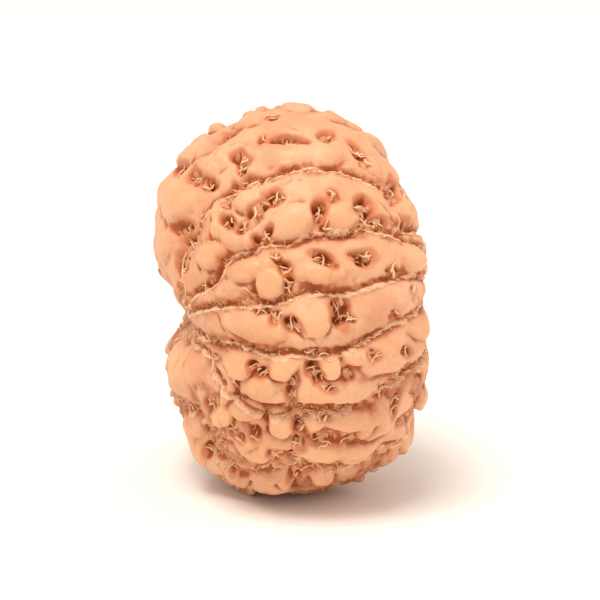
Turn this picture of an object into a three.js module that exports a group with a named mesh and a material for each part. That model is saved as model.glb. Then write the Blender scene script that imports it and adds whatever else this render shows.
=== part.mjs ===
// Rudraksha seed: one hard brown nut-like stone, cut all round by sinuous grooves that run from
// the stalk end to the tip. The raised faces between the grooves are lumpy and pitted.
//
// Frame: millimetres, +Z up, front is -Y. The seed stands on its rim on a small flat spot, with the
// line through its two ends lying along X: stalk end at -X, tip at +X. Every point of the skin is
// found along a ray from the middle of the seed, so the whole form is one height in each direction.

import * as THREE from 'three';
import { mergeVertices } from 'three/addons/utils/BufferGeometryUtils.js';

// Main sizes, in mm
const HALF_LENGTH = 10.9;      // middle to either end, along X
const HALF_DEPTH = 14.5;       // middle to front or back, along Y
const HALF_HEIGHT = 16.55;     // middle to top, along Z
const HALF_HEIGHT_BELOW = 16.8; // middle to the bottom of the round body, before the flat spot
const FULLNESS = 2.25;         // 2 is an ellipsoid, more is fuller between the axes
const FOOT_DROP = 16.6;        // middle to the flat spot it stands on

// Mesh fineness: steps along each edge of a twenty-sided start
const EDGE_STEPS = 23;

// Hollow at each end, in mm: depth, half spans across (front to back) and high, and its middle (y, z).
// The stalk end is a saddle that opens to the back, between an upper and a lower swelling.
const STALK_HOLLOW = { depth: 4.0, across: 8.5, high: 2.7, y: 7.0, z: -1.8 };
const TIP_HOLLOW = { depth: 1.4, across: 6.0, high: 3.6, y: -3.5, z: 0 };
// The hollows come in over these shares of the half length
const END_FACE = [0.2, 0.65];

// Grooves: narrow floor and broad shoulders, in mm
const GROOVE_DEPTH = 0.7;
const GROOVE_HALF = 0.65;
const SHOULDER_DEPTH = 0.4;
const SHOULDER_HALF = 1.1;
const SAMPLE_STEP = 0.3;
// Grooves run shallow where they meet at the two ends: share of depth left there, and off-axis
// reach of the fade, in mm
const GROOVE_LEFT = 0.3;
const GROOVE_FADE = [1.0, 6.0];
// Grooves of the hidden side fade out over these cosines before they come into the front view
const LIMB_FADE = [-0.25, 0.1];

// A pit is full depth inside the first share of its oval and ends at the second; a shallow dish
// surrounds it
const PIT_SHARE = 0.8;
const PIT_EDGE = [0.2, 1.6];
const DISH_SHARE = 0.3;
const DISH_EDGE = [0.8, 2.3];

// Lumps: gain on the heights in the table, reach of the ovals, the height at which their tops are
// worn down in mm, roundness and steepness of the edge, and how neighbours flow together
const LUMP_GAIN = 1.3;
const LUMP_REACH = 1.08;
const WORN_HEIGHT = 0.75;
const LUMP_ROUND = 3;
const LUMP_EDGE = 0.85;
const LUMP_MERGE = 3;
// Marks that stand out are drawn in once they face the front view by these cosines
const DRAW_IN = [0.1, 0.5];
// Share by which lumps are calmed inside the hollow of the stalk end
const HOLLOW_CALM = 0.9;

// Bare ground between the lumps lies deeper in the lower half: its depth, the lump heights over
// which it ends, and the heights from the middle over which it comes in, all in mm
const BARE_DEPTH = 0.2;
const BARE_EDGE = [0.05, 0.4];
const LOW_HALF = [1.0, -9.0];

// Relief stands out from the body by this much, and dies away next to the flat spot (reach in mm)
const STAND_OUT = 0.3;
const FOOT_FADE = [2.5, 5.0];

// Rounding of the relief over neighbouring points: passes and share taken from the neighbours
const ROUND_PASSES = 1;
const ROUND_SHARE = 0.4;

// Longitudes of the grooves, in degrees round the X axis from the front towards the top. Those of
// the front are measured; the hidden side repeats their habit with faces of about 20 degrees.
const FRONT_LONGITUDES = [53, 33, 18.5, 0, -18, -42];
const FULL_TURN = 318;
const HIDDEN_START = 100;
const HIDDEN_STEP = 19.8;
const HIDDEN_GROOVES = 11;
const HIDDEN_WANDER = 2.2;
const SEED_NUMBER = 20817;
// Below the stalk end, past this longitude, hidden grooves start short of it. All are placed at
// stations from one of the two starts, a step apart, up to the last
const SHORT_FROM = 270;
const SHORT_START = -0.72;
const LONG_START = -0.96;
const LAST_STATION = 0.97;
const STATION_STEP = 0.12;
// Stations of the two ends, and of the points that carry the front grooves round to the tip where
// they are out of view
const END_STATION = 0.999;
const TAIL_STATIONS = [0.8, 0.93];
const TAIL_LIMIT = 0.5;

// Rows of pits and lumps along the faces of the hidden side, in stations from -1 to 1 along X
const WIDE_FACE_ROW = 80;
const ROW_SPREAD = 0.22;
const ROW_END = 0.78;
const ROW_STEP = 0.2;
const PIT_WANDER = 0.05;
const LUMP_WANDER = 0.04;
// Half length, half width and depth or height of the hidden ones, in mm
const HIDDEN_PIT = [[0.5, 1.1], [0.4, 0.7], [0.7, 1.3]];
const HIDDEN_LUMP = [[0.9, 1.6], [0.8, 1.3], [0.4, 0.9]];
const HIDDEN_REACH = 3;
// How far round the edge of the front view the rule for the hidden side reaches, as a cosine
const HIDDEN_LIMIT = -0.02;

// Front view: places below are u to the right and v up, in mm from the middle of the seed,
// seen from 24 degrees left of front and 14 degrees above it.
const VIEW_YAW = -24;
const VIEW_RISE = 14;
// A ray towards the eye is walked inwards from this far, in steps of this length
const RAY_START = 30;
const RAY_STEP = 0.1;

// Grooves that show from the front, each from the stalk end to the tip
const FRONT_GROOVES = [
  [[-9.0, 1.0], [-9.4, 2.6], [-8.8, 3.6], [-8.2, 4.8], [-7.7, 6.0], [-7.3, 7.2], [-6.0, 8.4], [-4.0, 9.2],
    [-3.2, 10.0], [-2.0, 10.1], [-0.4, 10.6], [0.8, 10.9], [2.5, 10.9], [4.0, 10.6], [6.0, 10.0],
    [7.7, 9.0], [8.6, 7.3], [9.4, 6.0]],
  [[-7.9, 0.7], [-7.2, 1.0], [-6.1, 1.8], [-5.2, 3.2], [-3.5, 3.8], [-2.0, 4.6], [0.0, 4.6], [2.0, 5.2],
    [4.2, 5.3], [6.2, 5.8], [8.2, 5.5], [9.9, 4.7]],
  [[-8.0, -0.8], [-6.0, -0.4], [-4.0, -0.3], [-2.4, -0.2], [-0.6, 0.1], [1.0, 0.6], [3.0, 0.5],
    [5.0, 0.9], [7.0, 1.5], [9.0, 1.9], [10.1, 2.0]],
  [[-8.3, -1.9], [-7.2, -3.1], [-5.5, -3.7], [-4.0, -3.8], [-2.0, -4.3], [0.0, -4.3], [2.0, -4.5],
    [3.8, -4.2], [5.5, -3.6], [7.5, -2.6], [9.5, -1.6], [10.3, -1.1]],
  [[-8.3, -2.4], [-7.1, -4.4], [-6.4, -6.0], [-5.5, -7.2], [-4.2, -8.2], [-2.8, -9.0], [-1.0, -9.3],
    [1.0, -9.0], [3.0, -9.1], [5.0, -8.8], [7.0, -7.7], [8.8, -6.5], [10.4, -5.0], [11.3, -3.9]],
  [[-8.6, -1.2], [-9.2, -2.4], [-10.2, -3.5], [-10.9, -6.0], [-9.7, -8.3], [-8.8, -9.3], [-7.6, -9.8],
    [-7.0, -11.4], [-6.2, -13.2], [-4.5, -13.9], [-3.0, -14.3], [-1.0, -14.2], [0.9, -14.0], [3.0, -14.3],
    [5.0, -14.0], [7.0, -12.7], [9.0, -11.5], [9.9, -10.8]],
];

// Pits on the front: u, v, length, width, turn in degrees, depth
const FRONT_PITS = [
  [-5.4, 13.8, 1.9, 0.9, 25, 1.0], [-4.1, 11.9, 1.5, 1.2, 0, 1.4], [-4.2, 11.0, 0.8, 1.2, 0, 1.1],
  [-2.5, 13.5, 0.8, 0.8, 0, 0.5], [-0.4, 13.3, 2.6, 0.9, 0, 1.3], [2.9, 13.8, 1.3, 1.1, 0, 1.1],
  [5.6, 12.4, 2.0, 0.8, -50, 0.9], [6.1, 11.4, 0.8, 0.8, 0, 0.6], [-1.6, 15.3, 0.8, 0.7, 0, 0.5],
  [-9.2, 10.7, 1.4, 1.2, 0, 1.1], [-8.2, 10.4, 1.6, 1.2, -20, 1.2], [-7.0, 9.9, 1.6, 1.2, -20, 1.1],
  [8.6, 9.2, 1.8, 1.0, 90, 1.2], [-9.1, 6.1, 2.2, 0.9, 15, 1.2], [-8.9, 5.0, 1.6, 0.9, 10, 1.1],
  [-9.3, 4.0, 1.8, 1.0, 68, 1.0], [-9.5, 2.8, 1.3, 0.9, 0, 0.9], [-2.6, 10.3, 2.2, 0.6, 8, 0.8],
  [-4.9, 9.6, 0.8, 0.7, 0, 0.7],
  [-5.2, 6.4, 1.1, 0.9, 0, 1.4], [-5.5, 7.8, 0.8, 0.7, 0, 0.8], [-3.6, 6.2, 2.0, 0.8, 35, 1.1],
  [-2.6, 7.5, 2.8, 0.7, 35, 0.9], [-0.9, 8.4, 0.7, 0.7, 0, 0.7], [-1.6, 8.5, 1.4, 1.3, 0, 1.3],
  [-1.95, 5.5, 0.8, 0.8, 0, 1.2], [-2.9, 5.0, 0.8, 0.7, 0, 1.0],
  [2.2, 7.4, 1.2, 1.8, 0, 1.4], [2.8, 5.9, 0.8, 0.7, 0, 0.6], [5.8, 7.6, 1.6, 1.8, 0, 1.5],
  [6.2, 6.5, 0.8, 0.7, 0, 0.7], [7.2, 6.5, 1.2, 0.8, 0, 0.8], [9.3, 6.3, 1.0, 1.1, 0, 1.0],
  [9.8, 8.4, 0.7, 1.9, 0, 0.5], [3.5, 8.6, 1.4, 1.2, 0, 0.35],
  [-5.7, 3.4, 0.8, 0.7, 0, 0.8], [-7.6, 1.0, 1.5, 0.6, 30, 0.6], [-0.5, 2.5, 0.9, 1.0, 0, 1.2],
  [-1.1, 3.3, 1.3, 0.7, -40, 0.7], [-0.3, 1.4, 0.6, 1.4, 0, 0.7], [-3.4, 0.7, 1.0, 0.8, 0, 0.6],
  [2.6, 3.3, 2.4, 0.9, -25, 1.1], [5.9, 3.5, 2.0, 1.1, 0, 1.2], [8.5, 2.5, 1.5, 0.6, 0, 0.6],
  [-2.4, -0.8, 1.2, 0.6, -10, 0.8], [-1.3, -1.4, 1.0, 1.1, 0, 1.1], [0.1, -2.0, 1.8, 1.1, -35, 1.4],
  [4.0, -0.9, 1.5, 2.4, 0, 1.3], [4.9, -1.5, 0.9, 0.7, 0, 0.7], [8.7, -1.3, 1.2, 0.8, 0, 0.4],
  [10.2, 0.6, 0.6, 1.4, 0, 0.4],
  [-6.8, -3.6, 2.0, 0.6, -15, 0.5], [-6.4, -5.0, 0.9, 0.8, 0, 0.7], [-3.2, -5.4, 0.8, 0.9, 0, 0.9],
  [-2.4, -6.0, 1.1, 0.9, 0, 1.0], [-4.6, -7.0, 0.8, 0.7, 0, 0.6], [0.2, -7.3, 0.9, 2.2, -10, 0.8],
  [1.7, -5.6, 1.1, 1.4, 0, 1.3], [2.3, -6.4, 0.9, 1.0, 0, 1.0], [2.9, -7.2, 0.9, 0.7, 0, 0.7],
  [2.1, -4.5, 2.0, 0.6, 0, 1.0], [4.5, -6.2, 0.9, 1.2, -30, 0.9], [6.8, -4.5, 1.2, 1.1, 0, 0.5],
  [9.5, -4.3, 0.9, 0.9, 0, 0.9], [11.2, -4.6, 0.6, 0.8, 0, 0.6], [9.5, -6.2, 1.0, 0.8, 0, 0.5],
  [-6.9, -8.9, 0.9, 1.2, 0, 1.0], [-8.5, -9.3, 0.8, 0.7, 0, 0.6], [-4.9, -11.1, 1.0, 1.0, 0, 1.2],
  [-4.2, -11.5, 0.9, 0.7, 0, 0.8], [-3.1, -11.2, 1.0, 0.9, 0, 0.8], [0.7, -10.6, 0.8, 1.8, 35, 0.9],
  [0.6, -11.9, 1.0, 1.3, 0, 1.0], [2.6, -9.7, 1.2, 0.6, 0, 0.6], [2.4, -11.7, 2.2, 0.7, 0, 1.1],
  [4.7, -11.6, 1.1, 0.6, 0, 0.6], [8.5, -9.0, 2.4, 0.6, 60, 0.8], [7.3, -8.0, 0.8, 0.5, 0, 0.5],
  [-1.2, -12.7, 1.3, 0.7, -25, 0.8], [-6.9, -12.4, 0.7, 1.1, 0, 0.9], [-5.7, -12.2, 1.2, 0.6, -25, 0.7],
  [0.3, -13.4, 1.3, 1.1, 0, 1.0], [0.1, -14.9, 1.0, 1.0, 0, 0.9],
  [-4.9, -14.2, 0.8, 0.8, 0, 0.7], [-5.8, -15.0, 1.2, 0.5, -40, 0.7], [-3.8, -15.6, 0.9, 0.7, 0, 0.9],
  [1.4, -14.6, 1.1, 0.6, 0, 0.7], [3.3, -15.9, 1.0, 0.7, 0, 0.5], [-2.1, -16.3, 0.8, 1.2, 0, 1.0],
];

// Broad swellings, and flats below zero: u, v, half length, half width, turn in degrees, height
const FRONT_SWELLINGS = [
  [-10.8, 9.8, 4.6, 3.4, 50, 0.65], [-10.5, 1.2, 2.4, 1.8, 70, -0.5], [-9.3, -5.2, 2.7, 3.8, -10, 0.75],
  [-7.6, -12.6, 2.6, 2.0, -60, 0.5], [9.4, -12.0, 3.6, 2.5, -45, 0.8], [9.8, 11.0, 4.4, 3.0, -50, -0.6],
  [5.4, 15.8, 3.6, 2.0, -20, -0.6], [1.0, 16.8, 3.0, 1.8, 0, -0.3], [-4.4, 16.0, 3.6, 2.0, 20, -0.6],
  [11.2, 0.4, 1.5, 2.6, 0, -0.5], [10.9, 6.0, 1.5, 2.0, -20, -0.4],
];

// Lumps on the front: u, v, half length, half width, turn in degrees, height
const FRONT_LUMPS = [
  [-9.7, 8.1, 1.7, 1.4, 20, 1.0], [-8.4, 12.4, 1.6, 1.3, 40, 0.6], [8.2, -4.9, 2.4, 1.3, 15, 0.35],
  [7.2, -10.8, 1.9, 1.0, 30, 0.35], [5.8, -13.2, 1.9, 0.9, 12, 0.35], [-9.0, -11.6, 1.2, 1.2, 0, 0.6],
  [-6.5, 14.9, 0.7, 0.6, 30, 0.7], [-8.2, 13.6, 1.2, 0.9, 40, 0.6], [-3.7, 15.8, 0.5, 0.5, 0, 0.3],
  [-2.6, 16.0, 0.5, 0.5, 0, 0.3], [-4.2, -16.4, 1.4, 1.1, 0, 1.0], [-6.2, -15.1, 1.9, 0.9, -32, 0.9],
  [-3.5, 8.5, 1.5, 0.9, 10, 0.6], [-6.4, 7.6, 0.7, 0.9, 0, 0.6], [-6.3, 6.1, 0.7, 1.0, 0, 0.6],
  [-5.2, 4.9, 1.2, 0.7, -30, 0.6], [-3.9, 4.9, 0.8, 0.6, 0, 0.5], [-0.4, 6.6, 1.6, 1.3, -10, 1.0],
  [4.0, 7.1, 1.3, 1.3, 0, 0.9], [-7.0, 3.9, 1.3, 1.0, 20, 0.7], [-3.5, 2.8, 2.2, 0.9, 10, 0.5],
  [-1.9, 1.3, 1.2, 1.1, 0, 1.0], [2.3, 2.2, 2.2, 0.7, 0, 0.6], [1.8, -1.4, 1.4, 1.6, 0, 0.6],
  [-3.0, -2.4, 2.6, 1.1, -10, 0.4], [-4.7, -5.7, 1.3, 1.0, -20, 0.7], [-0.8, -5.9, 1.2, 0.9, 0, 0.9],
  [-2.5, -7.8, 2.4, 0.9, -10, 0.5], [3.4, -5.8, 0.8, 1.0, 0, 0.8], [5.5, -4.9, 1.0, 0.7, 20, 0.5],
  [4.0, -8.0, 3.6, 0.9, 0, 0.5], [-5.7, -8.4, 0.6, 1.0, 0, 0.5],
  [-6.0, -10.2, 1.1, 0.8, 0, 0.6], [-3.9, -9.7, 1.3, 0.9, 0, 0.6], [-0.9, -10.8, 1.1, 1.2, 0, 1.0],
  [2.0, -10.6, 1.0, 0.7, 0, 0.6], [4.9, -10.4, 2.0, 0.9, 5, 0.4], [-8.2, -10.6, 1.0, 1.0, 0, 0.6],
  [-2.9, -12.8, 2.2, 1.0, -10, 0.6], [2.6, -13.0, 2.2, 0.8, 0, 0.5], [-8.0, -12.8, 0.8, 1.4, 0, 0.9],
  [-6.0, -14.1, 1.2, 0.8, -25, 0.7], [-1.8, -15.4, 1.9, 0.8, 0, 0.6], [-3.9, -16.3, 0.9, 0.7, 0, 0.5],
  [2.5, -15.2, 1.2, 0.7, 0, 0.4], [5.0, -15.0, 1.2, 0.8, 0, 0.4], [9.8, 7.6, 1.2, 1.1, 0, 0.5],
  [10.8, 3.6, 1.2, 1.4, 0, 0.45], [11.0, 1.2, 0.8, 0.8, 0, 0.2], [11.2, -2.4, 1.2, 1.1, 0, 0.35],
  [11.2, -5.0, 1.2, 1.4, 0, 0.4], [11.0, -8.4, 1.0, 1.1, 0, 0.6], [9.3, -11.6, 1.0, 0.9, 0, 0.6],
  [8.2, -13.4, 1.2, 1.0, 0, 0.5], [0.4, 16.3, 1.4, 0.8, 0, 0.45], [3.8, 15.5, 1.1, 0.9, 0, 0.45],
  [7.0, 13.4, 1.6, 1.1, -45, 0.4], [-3.5, 15.4, 1.4, 0.8, 20, 0.4], [-9.2, 12.8, 1.1, 1.2, 0, 0.6],
  [-10.9, 5.4, 1.4, 2.4, 0, 0.4], [-10.6, 8.6, 1.2, 1.3, 0, 0.4], [8.6, 11.0, 1.2, 1.3, 0, 0.3],
  [-6.4, 12.0, 1.5, 1.0, 30, 0.4], [1.3, 12.2, 3.0, 0.9, 0, 0.4],
];

const deg = Math.PI / 180;
const dot = (a, b) => a[0] * b[0] + a[1] * b[1] + a[2] * b[2];
const sub = (a, b) => [a[0] - b[0], a[1] - b[1], a[2] - b[2]];
const scale = (a, s) => [a[0] * s, a[1] * s, a[2] * s];
const unit = (a) => scale(a, 1 / Math.hypot(...a));
const cross = (a, b) => [
  a[1] * b[2] - a[2] * b[1], a[2] * b[0] - a[0] * b[2], a[0] * b[1] - a[1] * b[0],
];
const combine = (a, s, b, t, c, r) => [0, 1, 2].map((i) => a[i] * s + b[i] * t + c[i] * r);
const smooth = (lo, hi, x) => {
  const t = Math.min(1, Math.max(0, (x - lo) / (hi - lo)));
  return t * t * (3 - 2 * t);
};

const yaw = VIEW_YAW * deg;
const rise = VIEW_RISE * deg;
const toEye = [Math.sin(yaw) * Math.cos(rise), -Math.cos(yaw) * Math.cos(rise), Math.sin(rise)];
const viewRight = [Math.cos(yaw), Math.sin(yaw), 0];
const viewUp = cross(toEye, viewRight);

// How far into an end hollow a point lies, from 0 to 1; side is -1 at the stalk end, 1 at the tip
const inHollow = (p, side, hollow) => {
  const q = Math.hypot((p[1] - hollow.y) / hollow.across, (p[2] - hollow.z) / hollow.high);
  return Math.exp(-q * q) * smooth(...END_FACE, side * p[0] / HALF_LENGTH);
};

// Smooth body without relief: distance from the middle to the skin in a unit direction
const bodyRadius = (d) => {
  const along = Math.abs(d[0]) / HALF_LENGTH;
  const high = d[2] < 0 ? HALF_HEIGHT_BELOW : HALF_HEIGHT;
  const around = Math.hypot(d[1] / HALF_DEPTH, d[2] / high);
  const r = (along ** FULLNESS + around ** FULLNESS) ** (-1 / FULLNESS);
  const p = scale(d, r);
  const stalkCut = STALK_HOLLOW.depth * inHollow(p, -1, STALK_HOLLOW);
  const tipCut = TIP_HOLLOW.depth * inHollow(p, 1, TIP_HOLLOW);
  return r - stalkCut - tipCut;
};
const onBody = (d) => scale(d, bodyRadius(d));

// Point of the smooth body that stands at (u, v) in the front view
const onFront = (u, v) => {
  let nearest = null;
  let least = Infinity;
  for (let t = RAY_START; t > 0; t -= RAY_STEP) {
    const p = combine(viewRight, u, viewUp, v, toEye, t);
    const d = unit(p);
    const over = Math.hypot(...p) / bodyRadius(d);
    if (over < least) {
      least = over;
      nearest = d;
    }
    if (over <= 1) break;
  }
  return onBody(nearest);
};

// Point of the smooth body at a longitude round the X axis and a station from -1 to 1 along it
const atStation = (longitude, station) => {
  const ring = Math.sqrt(1 - station * station);
  return onBody(unit([
    station * HALF_LENGTH,
    -ring * Math.cos(longitude * deg) * HALF_DEPTH,
    ring * Math.sin(longitude * deg) * HALF_HEIGHT,
  ]));
};

// Same stream of draws every time
let state = SEED_NUMBER;
const draw = () => {
  state = (state * 16807) % 2147483647;
  return state / 2147483647;
};
const between = (lo, hi) => lo + (hi - lo) * draw();

// Groove line through its points, sampled closely and laid on the body
const grooveLine = (points) => {
  const curve = new THREE.CatmullRomCurve3(points.map((p) => new THREE.Vector3(...p)), false, 'centripetal');
  const count = Math.ceil(curve.getLength() / SAMPLE_STEP);
  return curve.getPoints(count).map((p) => onBody(unit([p.x, p.y, p.z])));
};
const stalkEnd = atStation(0, -END_STATION);
const tipEnd = atStation(0, END_STATION);

const hiddenLongitudes = [];
for (let i = 0; i < HIDDEN_GROOVES; i += 1) hiddenLongitudes.push(HIDDEN_START + HIDDEN_STEP * i);

// A sample of a groove is a point and the share of the full depth there
const grooveSamples = [];
FRONT_GROOVES.forEach((line, i) => {
  const front = line.map(([u, v]) => onFront(u, v));
  const round = TAIL_STATIONS.map((s) => atStation(FRONT_LONGITUDES[i], s));
  const tail = round.filter((p) => dot(p, toEye) < TAIL_LIMIT);
  grooveLine([stalkEnd, ...front, ...tail, tipEnd]).forEach((at) => {
    grooveSamples.push({ at, weight: 1 });
  });
});
// Below the stalk end two grooves stop short, at the large smooth swelling
hiddenLongitudes.forEach((longitude) => {
  const stopsShort = longitude > SHORT_FROM;
  const start = stopsShort ? SHORT_START : LONG_START;
  const points = stopsShort ? [] : [stalkEnd];
  for (let s = start; s < LAST_STATION; s += STATION_STEP) {
    points.push(atStation(longitude + between(-HIDDEN_WANDER, HIDDEN_WANDER), s));
  }
  points.push(tipEnd);
  grooveLine(points).forEach((at) => {
    grooveSamples.push({ at, weight: 1 - smooth(...LIMB_FADE, dot(unit(at), toEye)) });
  });
});

// A pit or a lump is an oval patch of the body, held as its middle, three axes and three half sizes.
// What stands off the body is seen further out in the front view, so its middle is drawn in
// unless it forms the outline
const frontPatch = ([u, v, halfLength, halfWidth, turn, amount], stands) => {
  const c = Math.cos(turn * deg);
  const s = Math.sin(turn * deg);
  const seen = onFront(u, v);
  const drawnIn = 1 - stands * smooth(...DRAW_IN, dot(unit(seen), toEye)) / Math.hypot(...seen);
  return {
    at: onFront(u * drawnIn, v * drawnIn),
    axes: [
      combine(viewRight, c, viewUp, s, toEye, 0), combine(viewRight, -s, viewUp, c, toEye, 0), toEye,
    ],
    half: [halfLength, halfWidth, 2 * Math.max(halfLength, halfWidth)],
    amount,
  };
};
const hiddenPatch = (longitude, station, halfLength, halfWidth, amount) => {
  const at = atStation(longitude, station);
  const out = unit([at[0] / HALF_LENGTH ** 2, at[1] / HALF_DEPTH ** 2, at[2] / HALF_HEIGHT ** 2]);
  const along = unit(sub([1, 0, 0], scale(out, out[0])));
  return {
    at, out, axes: [along, cross(out, along), out], half: [halfLength, halfWidth, HIDDEN_REACH], amount,
  };
};
const oval = (p, patch) => {
  const away = sub(p, patch.at);
  return Math.hypot(...patch.axes.map((axis, i) => dot(away, axis) / patch.half[i]));
};

const pits = FRONT_PITS.map(([u, v, long, wide, turn, depth]) =>
  frontPatch([u, v, long / 2, wide / 2, turn, depth], STAND_OUT));
const swellings = FRONT_SWELLINGS.map((row) => frontPatch(row, 0));

// Tall lumps are worn down: the height levels off towards a limit
const worn = (height) => WORN_HEIGHT * Math.tanh(height / WORN_HEIGHT);
const lumps = FRONT_LUMPS.map((row) => frontPatch(row, STAND_OUT + worn(LUMP_GAIN * row[5])));

// Every face carries a row of pits and lumps, the wide face on top two rows; those that the front
// view already places are left out
const rows = [...FRONT_LONGITUDES].reverse().concat([WIDE_FACE_ROW], hiddenLongitudes, [FULL_TURN]);
for (let i = 0; i + 1 < rows.length; i += 1) {
  const middle = (rows[i] + rows[i + 1]) / 2;
  const spread = (rows[i + 1] - rows[i]) * ROW_SPREAD;
  for (let station = -ROW_END; station < ROW_END; station += ROW_STEP) {
    const pit = hiddenPatch(
      middle + between(-spread, spread), station + between(-PIT_WANDER, PIT_WANDER),
      ...HIDDEN_PIT.map(([lo, hi]) => between(lo, hi)),
    );
    const lump = hiddenPatch(
      middle + between(-spread, spread), station + ROW_STEP / 2 + between(-LUMP_WANDER, LUMP_WANDER),
      ...HIDDEN_LUMP.map(([lo, hi]) => between(lo, hi)),
    );
    if (dot(pit.out, toEye) < HIDDEN_LIMIT) pits.push(pit);
    if (dot(lump.out, toEye) < HIDDEN_LIMIT) lumps.push(lump);
  }
}

// Height of the broad swellings at a point
const swellingAt = (p) => swellings.reduce((sum, swelling) => {
  const inside = Math.max(0, 1 - oval(p, swelling) ** 2);
  return sum + swelling.amount * inside * inside;
}, 0);

// Height of the lumps at a point: neighbours flow together, and tall ones are worn flat on top
const raisedAt = (p) => {
  let sum = 0;
  lumps.forEach((lump) => {
    const q = oval(p, lump) / LUMP_REACH;
    if (q < 1) sum += (LUMP_GAIN * lump.amount * (1 - q ** LUMP_ROUND) ** LUMP_EDGE) ** LUMP_MERGE;
  });
  const flowed = sum ** (1 / LUMP_MERGE);
  const calmed = 1 - HOLLOW_CALM * inHollow(p, -1, STALK_HOLLOW);
  return worn(flowed) * calmed;
};

// Height of the skin in a unit direction: body, then lumps, less grooves and pits
const skinRadius = (d) => {
  const base = bodyRadius(d);
  const p = scale(d, base);
  const raised = raisedAt(p);
  const swelling = swellingAt(p);
  let sunk = 0;
  let dish = 0;
  pits.forEach((pit) => {
    const q = oval(p, pit);
    sunk = Math.max(sunk, PIT_SHARE * pit.amount * (1 - smooth(...PIT_EDGE, q)));
    dish = Math.max(dish, DISH_SHARE * pit.amount * (1 - smooth(...DISH_EDGE, q)));
  });
  let near = Infinity;
  let weight = 0;
  for (let i = 0; i < grooveSamples.length; i += 1) {
    const { at, weight: share } = grooveSamples[i];
    const gap = (p[0] - at[0]) ** 2 + (p[1] - at[1]) ** 2 + (p[2] - at[2]) ** 2;
    if (gap < near) {
      near = gap;
      weight = share;
    }
  }
  const fade = weight * (GROOVE_LEFT + (1 - GROOVE_LEFT) * smooth(...GROOVE_FADE, Math.hypot(p[1], p[2])));
  const floor = fade * GROOVE_DEPTH * Math.exp(-near / GROOVE_HALF ** 2);
  const shoulder = fade * SHOULDER_DEPTH * Math.exp(-near / SHOULDER_HALF ** 2);
  const open = 1 - smooth(...BARE_EDGE, Math.abs(raised + swelling));
  const bare = BARE_DEPTH * open * smooth(...LOW_HALF, p[2]);
  const relief = STAND_OUT + swelling + raised - Math.max(sunk, floor) - dish - shoulder - bare;
  const keep = p[2] > 0 ? 1 : smooth(...FOOT_FADE, Math.hypot(p[0], p[1]));
  return base + relief * keep;
};

// Skin: a round start drawn out to the proportions of the body, each point moved along its ray
const makeSkin = () => {
  const start = new THREE.IcosahedronGeometry(1, EDGE_STEPS);
  start.deleteAttribute('normal');
  start.deleteAttribute('uv');
  const skin = mergeVertices(start, 1e-5);
  const at = skin.getAttribute('position');
  const rays = [];
  for (let i = 0; i < at.count; i += 1) {
    rays.push(unit([at.getX(i) * HALF_LENGTH, at.getY(i) * HALF_DEPTH, at.getZ(i) * HALF_HEIGHT]));
  }
  let radii = rays.map(skinRadius);
  for (let pass = 0; pass < ROUND_PASSES; pass += 1) {
    const sum = radii.map(() => 0);
    const count = radii.map(() => 0);
    const index = skin.getIndex();
    for (let i = 0; i < index.count; i += 1) {
      const from = index.getX(i);
      const to = index.getX(i % 3 === 2 ? i - 2 : i + 1);
      sum[from] += radii[to];
      count[from] += 1;
    }
    radii = radii.map((r, i) => r + ROUND_SHARE * (sum[i] / count[i] - r));
  }
  rays.forEach((d, i) => {
    const r = d[2] < 0 ? Math.min(radii[i], FOOT_DROP / -d[2]) : radii[i];
    at.setXYZ(i, ...scale(d, r));
  });
  skin.computeBoundingBox();
  const box = skin.boundingBox;
  skin.translate(-(box.min.x + box.max.x) / 2, -(box.min.y + box.max.y) / 2, -box.min.z);
  skin.computeVertexNormals();
  return skin;
};

const seedSkin = new THREE.MeshStandardMaterial({ color: 0xe2a074, roughness: 0.55, metalness: 0 });
const seed = new THREE.Mesh(makeSkin(), seedSkin);
seed.name = 'seed';

const group = new THREE.Group();
group.name = 'rudraksha_seed';
group.add(seed);

export default group;
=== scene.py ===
# %% [markdown]
# # A rudraksha seed
# The seed is the woody stone of a small fruit, cleaned of its flesh. Sinuous grooves run over it from
# the stalk end to the tip and part it into lumpy, pitted faces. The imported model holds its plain
# form; this lesson replaces that form with a fine skin, and then adds the dried threads of flesh that
# stay behind in its pits and grooves.

# %% Load the frame
import math

import bmesh
import bpy
import numpy as np
from mathutils import Matrix, Vector, kdtree, noise


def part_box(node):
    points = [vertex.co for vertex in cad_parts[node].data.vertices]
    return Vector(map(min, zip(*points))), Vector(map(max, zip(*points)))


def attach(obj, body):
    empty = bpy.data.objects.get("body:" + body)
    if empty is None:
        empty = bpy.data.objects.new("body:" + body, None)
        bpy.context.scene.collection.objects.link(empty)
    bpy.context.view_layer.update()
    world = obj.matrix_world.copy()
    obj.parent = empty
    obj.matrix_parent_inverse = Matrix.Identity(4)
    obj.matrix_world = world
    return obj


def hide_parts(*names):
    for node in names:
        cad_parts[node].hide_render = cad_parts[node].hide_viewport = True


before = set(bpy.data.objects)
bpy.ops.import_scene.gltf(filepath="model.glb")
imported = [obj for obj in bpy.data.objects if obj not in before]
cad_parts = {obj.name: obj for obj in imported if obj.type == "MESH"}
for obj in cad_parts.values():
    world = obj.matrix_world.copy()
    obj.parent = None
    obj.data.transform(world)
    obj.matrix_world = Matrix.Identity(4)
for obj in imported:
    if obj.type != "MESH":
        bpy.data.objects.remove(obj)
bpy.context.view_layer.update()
MM = 0.001
seed_low, seed_high = (np.array(corner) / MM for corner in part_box("seed"))
print("solid seed, mm:", np.round(seed_high - seed_low, 1))

# %% [markdown]
# ## Sizes
# The seed stands on its rim: the line through its two ends lies along X, with the stalk end at -X.
# The same sizes shaped the solid, so the fine skin lands on it. Every point of the skin lies on a ray
# from the middle of the seed, so the form is one height in each direction.

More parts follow.
